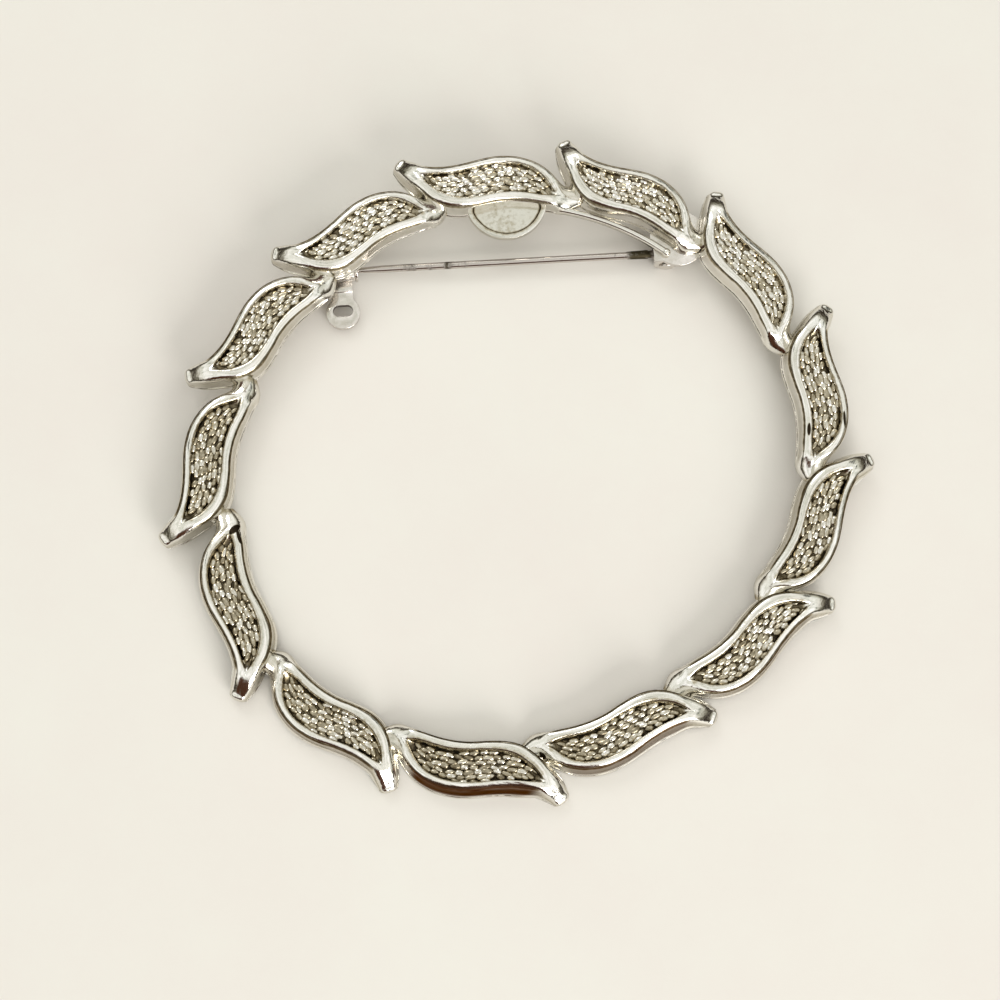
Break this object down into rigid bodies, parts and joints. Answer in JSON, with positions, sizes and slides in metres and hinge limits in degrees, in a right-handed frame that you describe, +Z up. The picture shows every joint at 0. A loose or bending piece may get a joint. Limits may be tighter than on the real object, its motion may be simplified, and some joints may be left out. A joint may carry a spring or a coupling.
{
  "type": "wreath brooch",
  "caption": "Round wreath brooch of curled, scaly-floored leaf trays cast in one ring, lying on its back, with a hinged pin and a rolling safety catch behind the top.",
  "frame": {"origin": "on the resting plane, under the middle of the ring's outline", "axes": "+Z up from the table, out of the leaves' faces; +Y towards the pin's side of the ring; +X to the right as seen from the front"},
  "size_m": [0.0538, 0.0508, 0.0047],
  "materials": {
    "plated_casting": "bright silver-toned plating on cast white metal, recess floors darkened",
    "plated_findings": "bright silver-toned plating on brass",
    "pin_wire": "drawn wire, plated, a little tarnished"
  },
  "bodies": {
    "brooch": {"wreath": "plated_casting", "hinge_bracket": "plated_findings", "hinge_rivet": "plated_findings", "catch_housing": "plated_findings"},
    "pin": {"pin_stem": "pin_wire"},
    "catch_roller": {"catch_sleeve": "plated_findings"}
  },
  "joints": [
    {"name": "pin_hinge", "type": "hinge", "parent": "brooch", "child": "pin", "pos_m": [0.01142, 0.01704, 0.00105], "axis": [0.0698, -0.9961, -0.0541], "range_deg": [0, 110]},
    {"name": "catch_roll", "type": "hinge", "parent": "brooch", "child": "catch_roller", "pos_m": [-0.01372, 0.01529, 0.00095], "axis": [0.9976, 0.0697, 0.0038], "range_deg": [0, 95]}
  ]
}
